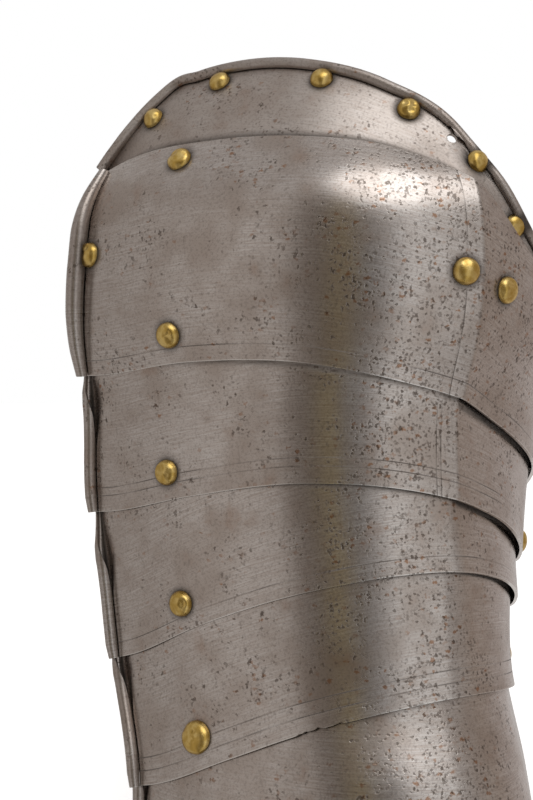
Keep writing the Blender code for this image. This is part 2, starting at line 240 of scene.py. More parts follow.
# Heights along the crest, from the foot of the last lame up to the rim
EDGES = ("lame_4_foot", "lame_3_foot", "lame_2_foot", "lame_1_foot", "shoulder_foot", "shoulder_top", "rim")
COURSE_HEIGHTS = (62.3 * MM, 39.2 * MM, 22.8 * MM, 32.5 * MM, 69.5 * MM, 23.6 * MM)
CREST_HEIGHTS = dict(zip(EDGES, np.concatenate(([0.0], np.cumsum(COURSE_HEIGHTS)))))

# How much higher than at the crest each edge lies at shares of the half arc, as shares of HALF_ARC
LIFT_PLACES = (-1.0, -0.88, -0.62, -0.36, -0.14, 0.0, 0.14, 0.36, 0.62, 0.88, 1.0)
RIM_PLACES = (-1.0, -0.94, -0.88, -0.75, -0.62, -0.36, -0.14, 0.0, 0.14, 0.36, 0.62, 0.88, 1.0)
LIFTS = {
    "rim": (-0.100, 0.043, 0.117, 0.144, 0.153, 0.133, 0.071, -0.011, -0.235, -0.365, -0.440, -0.520, -0.600),
    "shoulder_top": (0.063, 0.098, 0.116, 0.103, 0.065, 0.0, -0.125, -0.270, -0.380, -0.480, -0.540),
    "shoulder_foot": (0.056, 0.056, 0.081, 0.076, 0.036, 0.0, -0.057, -0.144, -0.224, -0.289, -0.315),
    "lame_1_foot": (-0.053, -0.044, 0.003, 0.036, 0.027, 0.0, -0.044, -0.144, -0.202, -0.240, -0.253),
    "lame_2_foot": (-0.243, -0.216, -0.119, -0.040, -0.003, 0.0, -0.026, -0.106, -0.164, -0.203, -0.216),
    "lame_3_foot": (-0.255, -0.228, -0.141, -0.060, -0.015, 0.0, -0.008, -0.034, -0.066, -0.086, -0.092),
    "lame_4_foot": (0.0,) * 11,
}

# The bow at shares of its height: the crest's reach, in CREST_REACH, the half arc, in HALF_ARC, and
# the share of the far half that its tight bend ends at
FORM = (
    (0.00, 1.90, 0.86, 0.25), (0.12, 1.35, 0.86, 0.25), (0.25, 0.20, 0.88, 0.27), (0.37, 0.00, 0.91, 0.32),
    (0.50, -0.25, 0.94, 0.42), (0.63, 0.00, 0.96, 0.49), (0.72, 0.80, 1.00, 0.45), (0.82, 1.05, 1.00, 0.43),
    (0.90, 0.66, 0.97, 0.43), (0.97, -0.55, 0.88, 0.43), (1.04, -1.70, 0.77, 0.43), (1.10, -3.00, 0.66, 0.43),
)
NEAR_SHARES = (0.0, 0.12, 0.42, 0.72, 1.0)
NEAR_TURNS = (15.0, 17.0, 48.0, 57.0, 76.0)
FAR_TURNS = (15.0, 17.0, 52.0, 62.0, 80.0)
FAR_FLANK_SHARE = 0.65
FAR_NOSE_SHARE = 0.30
GAP_SHARES = (-1.0, -0.69, -0.25, 0.20, 0.56, 1.0)
GAPS = (END_GAP, FLANK_GAP, CREST_GAP, CREST_GAP, FLANK_GAP, END_GAP)


def smooth(at, places, values):
    """A smooth curve through values at rising places, with Catmull-Rom slopes."""
    places, values = np.asarray(places, float), np.asarray(values, float)
    slopes = np.gradient(values, places)
    at = np.clip(at, places[0], places[-1])
    i = np.clip(np.searchsorted(places, at) - 1, 0, len(places) - 2)
    span = places[i + 1] - places[i]
    t = (at - places[i]) / span
    rise = (2 * t**3 - 3 * t**2 + 1) * values[i] + (3 * t**2 - 2 * t**3) * values[i + 1]
    return rise + span * ((t**3 - 2 * t**2 + t) * slopes[i] + (t**3 - t**2) * slopes[i + 1])


def edge(name, share):
    places = RIM_PLACES if name == "rim" else LIFT_PLACES
    return CREST_HEIGHTS[name] + HALF_ARC * smooth(share, places, LIFTS[name])


def gap(share):
    return np.interp(share, GAP_SHARES, GAPS)


def far_turn(walk, bend_end):
    """How far the far half has turned at shares of the half arc, in degrees, where its tight bend ends."""
    places = (0.0, FAR_NOSE_SHARE * bend_end, bend_end, FAR_FLANK_SHARE, 1.0)
    turn = FAR_TURNS[0]
    for low, high, start, end in zip(places, places[1:], FAR_TURNS, FAR_TURNS[1:]):
        turn = turn + (end - start) * np.clip((walk - low) / (high - low), 0.0, 1.0)
    return turn


def bow(share, height, inset, crest_width):
    """Points of the bow, and the outward ways there. The crest is rounded over a share of the half arc."""
    level = height / CREST_HEIGHTS["rim"]
    levels, reaches, arcs, bend_ends = zip(*FORM)
    walk = np.linspace(0.0, 1.0, 90).reshape(-1, *[1] * share.ndim) * np.abs(share)
    near = np.interp(walk, NEAR_SHARES, NEAR_TURNS)
    turn = np.radians(np.where(share < 0, near, far_turn(walk, smooth(level, levels, bend_ends))))
    turn = turn * np.clip(walk / crest_width, 0.0, 1.0)
    step = HALF_ARC * smooth(level, levels, arcs) * np.abs(share) / (len(walk) - 1)
    back = step * (np.sin(turn[1:]) + np.sin(turn[:-1])).sum(0) / 2
    across = step * (np.cos(turn[1:]) + np.cos(turn[:-1])).sum(0) / 2
    # A rounded crest is set back by what the rounding takes off its corner
    blunted = HALF_ARC * crest_width * math.sin(math.radians(FAR_TURNS[0])) / 2
    reach = CREST_REACH * (smooth(level, levels, reaches) - reaches[0]) + CREST_SET - blunted
    side = np.where(share < 0, -1.0, 1.0)
    outward = np.stack((np.cos(turn[-1]), side * np.sin(turn[-1]), 0.0 * height), -1)
    return np.stack((reach - back, side * across, height), -1) - inset[..., None] * outward, outward


def lame_inset(course, share, height):
    """How far a course's outer face lies inside the bow's: the shoulder plate is course 0."""
    if course == 0:
        return 0.0 * share
    foot, cover = edge(EDGES[4 - course], share), edge(EDGES[5 - course], share)
    hidden = cover + LAME_OVERLAP
    shown = STEEL + gap(share)
    deep = lame_inset(course - 1, share, hidden) + STEEL + HIDDEN_GAP_SHARE * gap(share)
    low = shown * np.clip((height - foot) / (cover - foot), 0.0, 1.0)
    return low + (deep - shown) * np.clip((height - cover) / LAME_OVERLAP, 0.0, 1.0)


def rivet_axis(node):
    """The middle of a rivet in the frame and its outward axis, which its round head gives away."""
    points = np.array([v.co for v in frame["nodes"][node].data.vertices], float)
    points = np.unique(points.round(6), axis=0)
    centre = points.mean(0)
    spreads, ways = np.linalg.eigh(np.cov((points - centre).T))
    odd = 2 if spreads[1] - spreads[0] < spreads[2] - spreads[1] else 0
    axis = ways[:, odd]
    if axis @ (centre - np.array((-0.09, 0.0, centre[2] - 0.03))) < 0:
        axis = -axis
    return centre, axis


def unit(vectors):
    return vectors / np.linalg.norm(vectors, axis=-1, keepdims=True)


RIVETS = {node: rivet_axis(node) for node in frame["nodes"] if "rivet" in node or "pivot" in node}
HOLE_RADIUS = 2.1 * MM
DRILL_REACH = 12 * MM
EDGE_BEVEL = 0.25 * MM
CREST_ZONE_SHARES = (-0.50, -0.32, -0.22, -0.10, 0.0, 0.02, 0.3, 0.6)
CREST_ZONE = (0.0, 0.25, 0.75, 1.0, 0.95, 0.55, 0.45, 0.1)
SHEET_STEP = 1.3 * MM
LINE_WIDTH = 0.3 * MM
LINE_STEPS = (-LINE_WIDTH, 0.0, LINE_WIDTH)
LINE_CLEARANCE = 0.9 * MM
LINE_DEPTH = 0.015 * MM
# The strip above each plate's foot that is painted bright, both as worn steel and as a painted highlight along
# the edge.
EDGE_HIGHLIGHT_BAND = 0.35 * MM


def with_lines(steps, lines):
    """Even steps with extra ones at and beside each scribed line."""
    fine = [line + step for line in lines for step in LINE_STEPS]
    kept = [step for step in steps if all(abs(step - line) > LINE_CLEARANCE for line in lines)]
    return np.array(sorted(kept + fine))


def scribed(distance, lines):
    """1 on a scribed line, falling to 0 beside it."""
    mark = 0.0 * distance
    for line in lines:
        mark = np.maximum(mark, 1 - np.abs(distance - line) / LINE_WIDTH)
    return mark


def wandering(share, seed):
    """A worn line's strength along the arc, from faint to full."""
    wave = np.sin(9 * share + seed) + np.sin(23 * share + 2.1 * seed) + 0.6 * np.sin(51 * share + 3.7 * seed)
    return np.clip(0.65 + 0.35 * wave, 0.3, 1.0)


def rolled(start, ahead, outward, radius, closed, steps):
    """Points of the strips that leave start along ahead and curl up towards outward."""
    rings = []
    closing = 2 * math.pi - np.arccos(np.clip((radius - LIP_GAP) / (radius + STEEL), 0.0, 1.0))
    for way in np.linspace(0.0, 1.0, steps + 1)[1:]:
        bend = (radius / closed)[..., None]
        turn = (closing * closed)[..., None] * way
        rings.append(start + bend * (np.sin(turn) * ahead + (1 - np.cos(turn)) * outward))
    return rings


def off_axis(place, centre, axis):
    """The way out from a drill's axis to a place; one past the drill's reach counts as a metre off it."""
    out = place - centre
    along = out.dot(axis)
    return out - along * axis if abs(along) < DRILL_REACH else out.normalized()


def sheet(name, points, masks, spread, holes, material):
    """A plate: a grid bent onto points, drilled at its rivets, with the steel's thickness behind it."""
    rows, columns = points.shape[:2]
    shape = bmesh.new()
    bmesh.ops.create_grid(shape, x_segments=columns - 1, y_segments=rows - 1, size=1.0)
    flat = np.array([v.co for v in shape.verts], float)
    column = np.rint((flat[:, 0] + 1) / 2 * (columns - 1)).astype(int)
    row = np.rint((flat[:, 1] + 1) / 2 * (rows - 1)).astype(int)
    for vertex, place in zip(shape.verts, points[row, column]):
        vertex.co = place
    for mask, values in masks.items():
        layer = shape.verts.layers.float.new(mask)
        for vertex, value in zip(shape.verts, values[row, column]):
            vertex[layer] = value
    plan = shape.loops.layers.uv.new("sheet")
    plans = spread[row, column]
    shape.verts.index_update()
    for face in shape.faces:
        for loop in face.loops:
            loop[plan].uv = plans[loop.vert.index]
    for centre, axis, radius in holes:
        centre, axis = Vector(centre), Vector(axis)
        middles = [(face, off_axis(face.calc_center_median(), centre, axis)) for face in shape.faces]
        gone = [face for face, out in middles if out.length < radius]
        bmesh.ops.delete(shape, geom=gone, context="FACES")
        for vertex in [v for v in shape.verts if v.is_boundary]:
            out = off_axis(vertex.co, centre, axis)
            if out.length < radius + 1.2 * SHEET_STEP:
                vertex.co += out * (radius / out.length - 1)
    mesh = bpy.data.meshes.new(name)
    shape.to_mesh(mesh)
    shape.free()
    mesh.materials.append(material)
    mesh.shade_smooth()
    plate = bpy.data.objects.new(name, mesh)
    bpy.context.scene.collection.objects.link(plate)
    wall = plate.modifiers.new("wall", "SOLIDIFY")
    wall.thickness = STEEL
    wall.offset = -1.0
    worn = plate.modifiers.new("worn_edges", "BEVEL")
    worn.limit_method = "ANGLE"
    worn.angle_limit = math.radians(50.0)
    worn.width = EDGE_BEVEL
    worn.segments = 2
    worn.harden_normals = True
    return plate


# The steel is ground and scoured along the plates, so it shines in fine streaks. Rust, cleaned off
# again, has left it brown in the pores, with pits that are thickest beside the crest.
STEEL_LIGHT = (0.60, 0.56, 0.53, 1.0)
STEEL_BROWN = (0.42, 0.36, 0.32, 1.0)
STEEL_DARK = (0.20, 0.17, 0.15, 1.0)
PIT_BROWN = (0.060, 0.040, 0.028, 1.0)
RUST = (0.30, 0.135, 0.055, 1.0)
# Near black, used for grime and also as painted shade: the scribed grooves and the seams under overlapping
# plates are painted with it.
GRIME_AND_SHADE = (0.045, 0.036, 0.030, 1.0)
# Near white for the worn edge, also serving as a painted highlight along each plate's foot.
WORN_EDGE_HIGHLIGHT = (0.80, 0.78, 0.75, 1.0)
TARNISH_WIDTH = 2.6 * MM
TARNISH_REACH = 3 * MM


def worn_steel(name, seed, crest_pits=0.8, tarnish=0.0):
    material = bpy.data.materials.new(name)
    material.use_nodes = True
    tree = material.node_tree
    shader = tree.nodes["Principled BSDF"]
    tone = Tone(tree)
    place = tone.node("ShaderNodeTexCoord", output="Object")
    plan = tone.node("ShaderNodeTexCoord", output="UV")

    def spot(kind, source, stretch, shift, inputs, settings=None, output=0):
        moved = tone.node("ShaderNodeMapping", inputs={0: source, 1: (shift, 2 * shift, seed), 3: stretch})
        return tone.node(kind, settings, {"Vector": moved, **inputs}, output)

    def cloud(source, scale, detail=3.0, stretch=(1.0, 1.0, 1.0), shift=0.0):
        return spot("ShaderNodeTexNoise", source, stretch, shift, {"Scale": scale, "Detail": detail})

    def marked(mask):
        return tone.node("ShaderNodeAttribute", {"attribute_name": mask}, output="Fac")

    streaks = cloud(plan, 40.0, 6.0, (1.0, 48.0, 1.0))
    scour = cloud(plan, 160.0, 4.0, (1.0, 14.0, 1.0), 3.1)
    pores = cloud(place, 1300.0, 3.0)
    patches = cloud(place, 38.0, 5.0, shift=0.7)
    stains = cloud(place, 90.0, 6.0, shift=1.9)

    crowds = cloud(place, 60.0, 4.0, shift=5.0)
    crowding = (crowds * 0.9 + marked("crest_zone") * (0.22 * crest_pits)).step(0.30, 0.78)

    def pits_of(scale, stretch, shift, size, plenty):
        """Pits in some cells of a Voronoi pattern, each as dark as its cell's own colour makes it."""
        cells = {"Scale": scale, "Randomness": 1.0}
        far = spot("ShaderNodeTexVoronoi", place, stretch, shift, cells)
        pick = spot("ShaderNodeTexVoronoi", place, stretch, shift, cells, output="Color")
        return (far + pores * 1.1).step(size + 0.95, size + 0.70) * (pick + crowding * plenty).step(0.85, 1.12)

    pinholes = pits_of(760.0, (1.0, 1.0, 1.2), 0.3, 0.10, 0.48)
    dashes = pits_of(470.0, (1.5, 1.5, 1.0), 4.3, 0.04, 0.38)
    pocks = pits_of(300.0, (1.2, 1.2, 1.0), 2.3, -0.02, 0.30)
    flecks = pits_of(400.0, (1.0, 1.0, 1.4), 6.1, 0.04, 0.34)
    pits = dashes.most(pocks).most(pinholes * 0.75)

    # The grime-and-shade mask pulls the steel towards near black. Along the foot of each covering plate it is
    # a painted shadow, and the scribed lines are painted dark as the shade in their grooves. It also darkens
    # the end rolls, most at their base, and rings each rivet with tarnish.
    grime = marked("grime").most(marked("line"))
    wear = marked("wear")
    brown = (patches * 0.7 + stains * 0.5).step(0.50, 0.78)
    ground = (brown * (1 - tarnish) + tarnish).mixed(STEEL_LIGHT, STEEL_BROWN)
    ground = (streaks.step(0.62, 0.30) * 0.45 + scour.step(0.66, 0.38) * 0.45).mixed(ground, STEEL_BROWN)
    ground = (pores.step(0.52, 0.36) * 0.30).mixed(ground, STEEL_DARK)
    rusted = (flecks * 0.7 + stains.step(0.60, 0.85) * 0.3).mixed(ground, RUST)
    # Worn edge and painted highlight: a strip a third of a millimetre high above each plate's foot is painted
    # much brighter.
    worn_and_highlit = (wear * 0.8).mixed(rusted, WORN_EDGE_HIGHLIGHT)
    soiled_and_shaded = (grime * 0.92).mixed(worn_and_highlit, GRIME_AND_SHADE)
    colour = (pits * 0.72).mixed(soiled_and_shaded, PIT_BROWN)
    tree.links.new(colour.socket, shader.inputs["Base Color"])
    tree.links.new((1 - grime * 0.3).socket, shader.inputs["Metallic"])
    rough = 0.19 + 0.55 * tarnish + streaks * 0.07 + brown * 0.06 + grime * 0.2 + pits * 0.06 - wear * 0.05
    tree.links.new(rough.socket, shader.inputs["Roughness"])
    relief = streaks * 0.06 + scour * 0.06 + cloud(place, 26.0, 2.0, shift=8.0) * 1.2 - pits * 0.4
    bump = tone.node("ShaderNodeBump", inputs={"Strength": 0.35, "Distance": 0.25 * MM, "Height": relief})
    tree.links.new(bump.socket, shader.inputs["Normal"])
    return material


def near_rivets(points, names, radius):
    """1 at the edge of each rivet's head, falling off over a few millimetres of tarnish."""
    ring = np.zeros(points.shape[:2])
    for name in names:
        centre, axis = RIVETS[name]
        out = points - centre
        along = out @ axis
        away = np.sqrt(np.maximum((out**2).sum(-1) - along**2, 0.0))
        near = np.clip(1.0 - (away - radius) / TARNISH_WIDTH, 0.0, 1.0) ** 1.6
        ring = np.maximum(ring, np.where(np.abs(along) < TARNISH_REACH, near, 0.0))
    return ring


CREST_STEPS = [-0.010, -0.006, -0.003, 0.003, 0.006, 0.010]
STEP_CLEARANCE = 0.003
LOW_BAND_MARGIN = 3 * MM
CHIP_REACH = 2.5 * MM
END_ROLL_STEPS = 18


def arc_steps(end, step_share, lines):
    """Even shares of the half arc to both ends, with extra ones beside the crest and the scribed lines."""
    half = np.arange(0.0, end, step_share)
    near = [-s for s in half[1:]] + [-end]
    shares = sorted(near + list(half) + [end])
    fine = [line / HALF_ARC + step / HALF_ARC for line in lines for step in LINE_STEPS]
    fine += CREST_STEPS
    kept = [s for s in shares if abs(s) < 1e-9 or all(abs(s - f) > STEP_CLEARANCE for f in fine)]
    return np.array(sorted(kept + fine))


def plate_points(course, foot, top, low_lines, arc_lines, crest_width, rolls, roll_radius, chips=None):
    """A plate's grid of points from foot to top, rolled over at both ends, with its masks and flat plan."""
    shares = arc_steps(PLATE_END, SHEET_STEP / HALF_ARC, arc_lines)
    band = max(low_lines) + LOW_BAND_MARGIN
    low = with_lines(np.append(np.arange(0.0, band, SHEET_STEP), EDGE_HIGHLIGHT_BAND), low_lines)
    tallest = (top(shares) - foot(shares)).max() - band
    upper = np.linspace(0.0, 1.0, int(tallest / SHEET_STEP))
    foot_line, top_line = foot(shares), top(shares)
    low_heights = foot_line + low[:, None]
    if chips is not None:
        low_heights = low_heights + chips(shares) * np.clip(1 - low[:, None] / CHIP_REACH, 0.0, 1.0)
    upper_heights = (foot_line + band) + upper[:, None] * (top_line - foot_line - band)
    heights = np.concatenate((low_heights[low < band - 0.3 * MM], upper_heights))
    share = np.broadcast_to(shares, heights.shape)
    points, outward = bow(share, heights, lame_inset(course, share, heights), crest_width)
    above_foot = heights - foot_line
    # The scribed lines are cut only a hair deep, and the material paints them dark as the shade in their
    # grooves.
    line = scribed(above_foot, low_lines) * wandering(share, 1.3 + course)
    line = np.maximum(line, scribed(share * HALF_ARC, arc_lines) * wandering(above_foot * 11, 0.4 + course))
    points = points - (LINE_DEPTH * line)[..., None] * outward
    down = 1 - (heights - foot_line) / (top_line - foot_line)
    strips = []
    for side, end, inner in ((-1, 0, 1), (1, -1, -2)):
        ahead = unit(points[:, end] - points[:, inner])
        out = outward[:, end] - (outward[:, end] * ahead).sum(-1, keepdims=True) * ahead
        closed, size = rolls(down[:, end])
        strips.append(rolled(points[:, end], ahead, unit(out), roll_radius * size, closed, END_ROLL_STEPS))
    near, far = strips
    columns = [*near[::-1], *[points[:, i] for i in range(points.shape[1])], *far]
    grid = np.stack(columns, 1)
    padding = ((0, 0), (len(near), len(far)))
    masks = {
        "line": np.pad(line, padding),
        "wear": np.pad(np.clip(1 - above_foot / EDGE_HIGHLIGHT_BAND, 0, 1), padding, mode="edge"),
        "crest_zone": np.pad(np.interp(share, CREST_ZONE_SHARES, CREST_ZONE), padding),
    }
    ends = np.exp(-((np.abs(share) - PLATE_END) / 0.007) ** 2)
    masks["grime"] = np.pad(ends * 0.85, padding, mode="constant")
    strip_fade = np.interp(np.linspace(0.0, 1.0, len(near)), (0.0, 0.12, 0.3, 1.0), (0.9, 0.6, 0.12, 0.3))
    masks["grime"][:, :len(near)] = strip_fade[::-1]
    masks["grime"][:, -len(far):] = strip_fade
    spans = np.linalg.norm(np.diff(grid, axis=1), axis=-1)
    lengths = np.concatenate((np.zeros((len(grid), 1)), np.cumsum(spans, 1)), 1)
    rises = np.pad(above_foot, padding, mode="edge")
    spread = np.stack((lengths - lengths[:, lengths.shape[1] // 2][:, None], rises), -1)
    return grid, masks, spread


def shoulder_rolls(down):
    """How far the shoulder plate's end rolls are closed, and their size, from its top down."""
    return np.ones_like(down), np.interp(down, SHOULDER_ROLL_PLACES, SHOULDER_ROLL_SIZES)


SHOULDER_ROLL_PLACES = (0.0, 0.12, 0.3, 0.5, 0.7, 0.88, 1.0)
SHOULDER_ROLL_SIZES = (0.4, 0.7, 0.95, 1.0, 0.95, 0.75, 0.5)
SHOULDER_ROLL = 2.2 * MM
SHOULDER_LINES = (5.2 * MM,)
SHOULDER_ARC_LINES = (-5.6 * MM,)
SHOULDER_CREST_WIDTH = 0.004
HEAD_RADIUS = 4.4 * MM
shoulder_nodes = [n for n in frame["record"]["behaviour"]["bodies"]["shoulder"] if n in RIVETS]
points, masks, spread = plate_points(
    0, lambda s: edge("shoulder_foot", s), lambda s: edge("shoulder_top", s),
    SHOULDER_LINES, SHOULDER_ARC_LINES, SHOULDER_CREST_WIDTH, shoulder_rolls, SHOULDER_ROLL)
masks["grime"] = np.maximum(masks["grime"], near_rivets(points, shoulder_nodes, HEAD_RADIUS))
shoulder = sheet("shoulder_sheet", points, masks, spread,
                 [(*RIVETS[n], HOLE_RADIUS) for n in shoulder_nodes], worn_steel("shoulder_steel", 0.0, 0.95))
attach(shoulder, "shoulder")
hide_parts("shoulder_plate")


# The arm lames are narrow plates that lap upwards, each under the one above it, so that the arm can
# lift. Their ends are rolled outwards, and the scribed line above each foot is worn away in places.
def lame_rolls(shown_share):
    """The end rolls of a lame, slack and narrow where the plate above hides them."""
    def rolls(down):
        shown = np.clip((down - shown_share) / (1 - shown_share), 0.0, 1.0)
        closed = np.interp(shown, (0.0, 0.2, 0.45), (0.7, 0.9, 1.0))
        size = np.interp(shown, (0.0, 0.12, 0.88, 1.0), (0.8, 1.0, 1.0, 0.7))
        return closed, np.where(down < shown_share, 0.12 + 0.68 * (down / shown_share) ** 3, size)
    return rolls


def chipped(shares):
    """The third lame's foot is chipped near the crest."""
    near = np.clip(1 - np.abs(shares - CHIP_PLACE) / CHIP_SPREAD, 0.0, 1.0)
    jag = np.abs(np.sin(190 * shares) + 0.7 * np.sin(331 * shares + 1.0) + 0.5 * np.sin(613 * shares))
    return CHIP_DEPTH * np.sqrt(near) * jag


LAME_ROLL = 1.15 * MM
CHIPPED_COURSE = 3
CHIP_PLACE = -0.36
CHIP_SPREAD = 0.07
CHIP_DEPTH = 0.55 * MM
# How far the painted shadow along the foot of each covering plate reaches to either side of it.
COVER_SHADOW_REACH = 1.7 * MM

# From the first lame down: its scribed lines' heights above its foot, and their places beside the crest
LAME_LINES = ((5.6 * MM, 8.4 * MM), (5.0 * MM,), (4.6 * MM, 8.6 * MM), (6.0 * MM,))
LAME_ARC_LINES = ((-6.6 * MM, -8.2 * MM), (), (), ())
CREST_WIDTHS = (0.006, 0.018, 0.045, 0.070)
for course in (1, 2, 3, 4):
    node = f"lame_{course}"
    foot_name, cover_name = EDGES[4 - course], EDGES[5 - course]
    body = "arm_" + node
    own = [n for n in frame["record"]["behaviour"]["bodies"][body] if n in RIVETS]
    above = [f"pivot_{course}_near", f"pivot_{course}_far"]
    shown_share = LAME_OVERLAP / (LAME_OVERLAP + COURSE_HEIGHTS[4 - course])
    points, masks, spread = plate_points(
        course, lambda s: edge(foot_name, s), lambda s: edge(cover_name, s) + LAME_OVERLAP,
        LAME_LINES[course - 1], LAME_ARC_LINES[course - 1], CREST_WIDTHS[course - 1],
        lame_rolls(shown_share), LAME_ROLL, chipped if course == CHIPPED_COURSE else None)
    # Painted shadow: each lame is darkened in a band along the foot of the plate that laps over it.
    below_cover = edge(cover_name, np.linspace(-PLATE_END, PLATE_END, points.shape[1])) - points[..., 2]
    masks["grime"] = np.maximum(masks["grime"], 0.9 * np.clip(1 - np.abs(below_cover) / COVER_SHADOW_REACH, 0, 1))
    masks["grime"] = np.maximum(masks["grime"], near_rivets(points, own, HEAD_RADIUS))
    lame = sheet(node + "_sheet", points, masks, spread,
                 [(*RIVETS[n], HOLE_RADIUS) for n in own + above], worn_steel(node + "_steel", 1.7 * course))
    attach(lame, body)
    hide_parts(node)


# The top lame lies under the shoulder plate and closes in round the neck. Its rim is rolled outwards,
# a row of rivets stands below the roll, and a lace hole is punched at the crest.
TOP_LEAN = 1.4
TOP_OVERLAP = 13.0 * MM
TOP_LAME_END = 0.985
TOP_CREST_WIDTH = 0.03
NORMAL_STEPS = (0.002, 0.3 * MM)
HEAD_STAND = 3.2 * MM
RIM_HEAD_RADIUS = 3.9 * MM
RIM_ROLL_PLACES = (-0.15, 0.03)
RIM_ROLLS = (0.8 * MM, 0.5 * MM)
RIM_ROLL_STEPS = 12
LACE_HOLE_RADIUS = 1.8 * MM
LACE_HOLE_DROP = 8.0 * MM


def top_lame_place(share, height):
    """Points of the top lame, which leans back from the rim to pass under the shoulder plate."""
    rim_line, cover_line = edge("rim", share), edge("shoulder_top", share)
    depth = np.clip((rim_line - height) / (rim_line - cover_line), 0.0, 1.0)
    return bow(share, height, TOP_LEAN * (STEEL + gap(share)) * depth, TOP_CREST_WIDTH)


def slid(node, share, drop):
    """A rim rivet's centre and axis at a share of the arc, at its drop below the rim.

    The axis stands halfway between square to the leaning plate and level.
    """
    centre, axis = rivet_axis(node)
    crown = max((np.array(v.co) - centre) @ axis for v in frame["nodes"][node].data.vertices)
    shares = share + np.array((0.0, NORMAL_STEPS[0], 0.0))
    heights = edge("rim", shares[:1]) - drop + np.array((0.0, 0.0, NORMAL_STEPS[1]))
    points, outward = top_lame_place(shares, heights)
    here, along, above = points
    normal = unit(np.cross(along - here, above - here))
    normal = unit(normal * np.sign(normal @ outward[0]) + outward[0])
    return here - (crown - HEAD_STAND) * normal, normal


RIVETS["rim_rivet_5"] = slid("rim_rivet_5", 0.045, 4.3 * MM)
RIVETS["rim_rivet_6"] = slid("rim_rivet_6", 0.122, 4.0 * MM)
shares = arc_steps(TOP_LAME_END, SHEET_STEP / HALF_ARC, ())
rim_line, cover_line = edge("rim", shares), edge("shoulder_top", shares)
hidden_line = cover_line - TOP_OVERLAP
hidden_rows = np.linspace(0.0, 1.0, 11)[:-1, None]
shown_rows = np.linspace(0.0, 1.0, 26)[:, None]
hidden_heights = hidden_line + hidden_rows * TOP_OVERLAP
heights = np.concatenate((hidden_heights, cover_line + shown_rows * (rim_line - cover_line)))
share = np.broadcast_to(shares, heights.shape)
points = top_lame_place(share, heights)[0]
along = np.gradient(points[-1], axis=0)
upward = points[-1] - points[-2]
out = unit(np.cross(along, upward))
roll_sizes = np.interp(shares, RIM_ROLL_PLACES, RIM_ROLLS)
ahead = unit(np.cross(out, along))
rim = rolled(points[-1], ahead, out, roll_sizes, np.ones(len(shares)), RIM_ROLL_STEPS)
grid = np.concatenate((points, np.stack(rim)))
# Painted shade: the top lame is darkened in a band just above the shoulder plate's top edge, where the two
# plates meet.
seam_shade = 0.8 * np.clip(1 - np.abs(heights - cover_line - 1 * MM) / (2.2 * MM), 0, 1)
rim_grime = np.repeat(np.linspace(0.2, 0.1, len(rim))[:, None], len(shares), axis=1)
fade = np.concatenate((seam_shade, rim_grime))
top_rivets = [n for n in frame["record"]["behaviour"]["bodies"]["neck_lame"] if n in RIVETS]
masks = {
    "line": 0 * fade,
    "wear": 0 * fade,
    "crest_zone": np.exp(-((shares + 0.2) / 0.3) ** 2) * 0.3 + 0 * fade,
    "grime": np.maximum(fade, near_rivets(grid, top_rivets, RIM_HEAD_RADIUS)),
}
arc_walk = shares * HALF_ARC + 0 * fade
spread = np.stack((arc_walk, grid[..., 2] - rim_line), -1)
row = np.abs(heights[:, len(shares) // 2] - (CREST_HEIGHTS["rim"] - LACE_HOLE_DROP)).argmin()
crest = np.abs(shares).argmin()
lace_axis = unit(np.cross(along[crest], points[row + 1, crest] - points[row, crest]))
holes = [(*RIVETS[n], HOLE_RADIUS) for n in top_rivets + ["top_pivot_near", "top_pivot_far"]]
holes.append((points[row, crest], lace_axis, LACE_HOLE_RADIUS))
top_lame = sheet("top_lame_sheet", grid, masks, spread, holes, worn_steel("top_lame_steel", 11.0, 0.5, 0.35))
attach(top_lame, "neck_lame")
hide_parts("top_lame")


# The rivets are brass, with high domed heads set outside and their shanks peened over within. No two
# heads are alike: hammering and wear have dented them, and dirt has gathered round their edges.
BRASS = (0.52, 0.34, 0.085, 1.0)
BRASS_PALE = (0.74, 0.55, 0.21, 1.0)
BRASS_DIRT = (0.07, 0.045, 0.018, 1.0)
SHANK_RADIUS = 0.37 * HEAD_RADIUS
PEEN_RADIUS = 2.7 * MM
DOME_POWER = 0.9
SPIN_STEPS = 36
WOBBLE = 0.035
WOBBLE_LENGTH = 2.5 * MM

# Dents seen from the camera: how far right and up of the crown, in head radii, then size and depth in mm
DENTS = {
    "rim_rivet_1": ((-0.45, -0.45, 3.4, 0.45),),
    "rim_rivet_4": ((0.35, 0.15, 1.8, 0.65), (-0.40, 0.20, 1.5, 0.50), (0.05, -0.50, 1.6, 0.45)),
    "top_pivot_near": ((0.45, -0.40, 3.4, 0.60), (-0.50, 0.35, 3.2, 0.55)),
    "strap_rivet_near": ((-0.55, 0.05, 2.6, 0.90), (0.30, 0.45, 1.5, 0.50)),
    "pivot_1_near": ((0.20, 0.10, 2.3, 0.50), (0.48, 0.30, 0.9, 0.70), (0.42, -0.10, 0.9, 0.60)),
    "pivot_2_near": ((-0.40, 0.30, 2.4, 0.45), (0.45, -0.20, 1.4, 0.40)),
    "pivot_3_near": ((0.60, 0.05, 1.7, 0.75), (-0.20, -0.45, 2.2, 0.40)),
    "pivot_4_near": ((0.10, 0.35, 1.2, 0.55), (0.00, -0.05, 1.2, 0.50), (-0.15, -0.45, 1.2, 0.45)),
    "crest_rivet_near": ((0.62, -0.10, 1.1, 0.40),),
    "crest_rivet_far": ((0.05, 0.60, 1.1, 0.60), (0.12, 0.20, 1.0, 0.45), (0.15, -0.20, 1.0, 0.35)),
}


